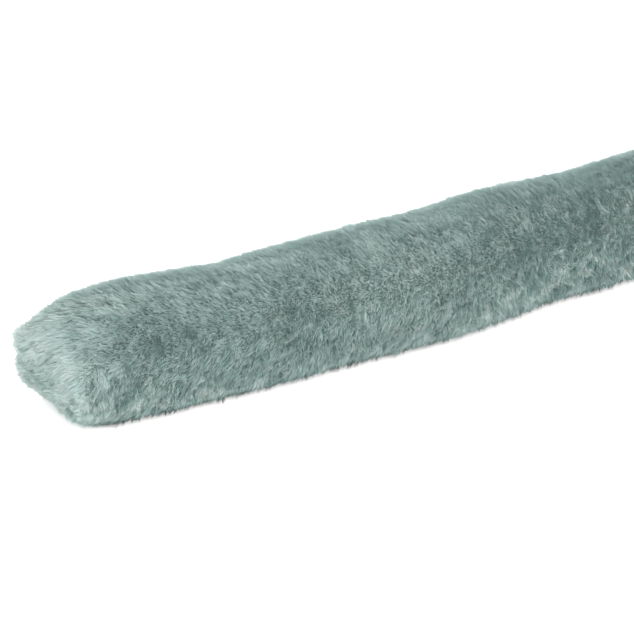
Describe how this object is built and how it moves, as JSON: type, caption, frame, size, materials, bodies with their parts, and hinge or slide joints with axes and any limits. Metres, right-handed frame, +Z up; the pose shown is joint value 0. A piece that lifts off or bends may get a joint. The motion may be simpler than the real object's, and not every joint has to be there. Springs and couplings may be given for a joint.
{
  "type": "draught excluder",
  "caption": "Long stuffed tube of short-pile fake fur, gently bowed, flat underneath and sewn shut across both blunt ends.",
  "frame": {"origin": "on the floor, under the middle of the part's box", "axes": "+X along the tube, away from the end that the picture shows, +Z up from the floor"},
  "size_m": [0.9456, 0.1663, 0.1309],
  "materials": {
    "fur": "sage green fake fur, short dense matt pile with a soft sheen"
  },
  "bodies": {
    "root": {"filled_tube": "fur"}
  },
  "joints": []
}
